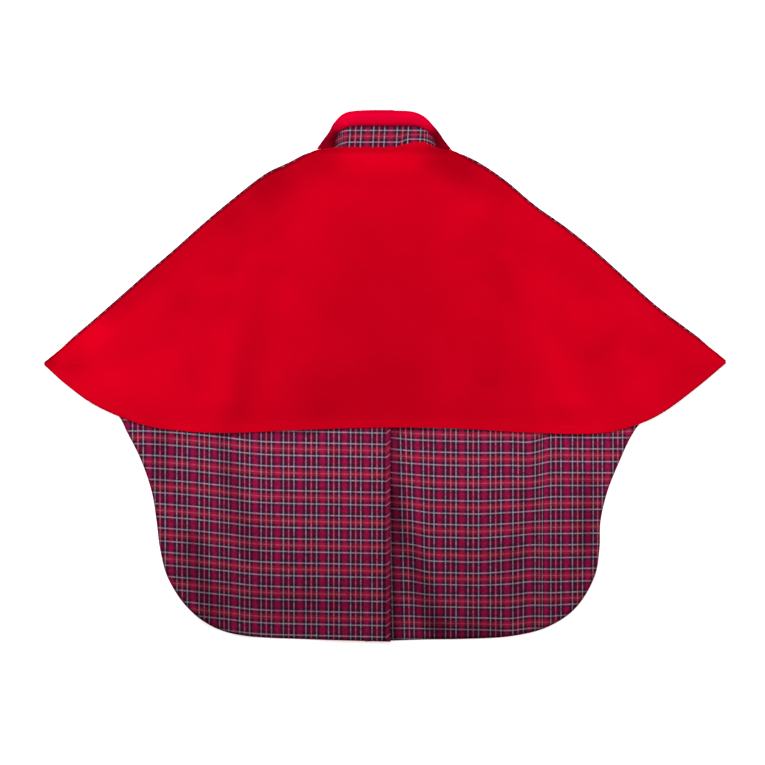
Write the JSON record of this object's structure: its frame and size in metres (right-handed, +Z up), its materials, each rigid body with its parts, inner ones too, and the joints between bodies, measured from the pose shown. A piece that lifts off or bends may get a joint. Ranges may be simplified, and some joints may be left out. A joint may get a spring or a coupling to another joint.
{
  "type": "wheelchair cape",
  "caption": "Cape for a wheelchair user, laid flat back up: short plain back over long fronts whose tartan lining shows, stand collar folded over.",
  "frame": {"origin": "middle of the bounding box, on the surface that the cape lies on", "axes": "+X across the cape to the viewer's right seen with the back up, +Y from hem to collar, +Z up, out of the back"},
  "size_m": [1.362, 1.062, 0.0204],
  "materials": {
    "red_shell": "matt napped coating in bright red",
    "red_collar": "matt napped coating in bright red",
    "tartan_lining": "smooth woven tartan in crimson, magenta and navy with fine white and orange lines"
  },
  "bodies": {
    "root": {"front_left_shell": "red_shell", "front_right_shell": "red_shell", "front_left_lining": "tartan_lining", "front_right_lining": "tartan_lining", "back_panel": "red_shell", "collar_stand": "tartan_lining", "collar_fall": "red_collar", "collar_front_left": "red_collar", "collar_front_right": "red_collar"}
  },
  "joints": []
}
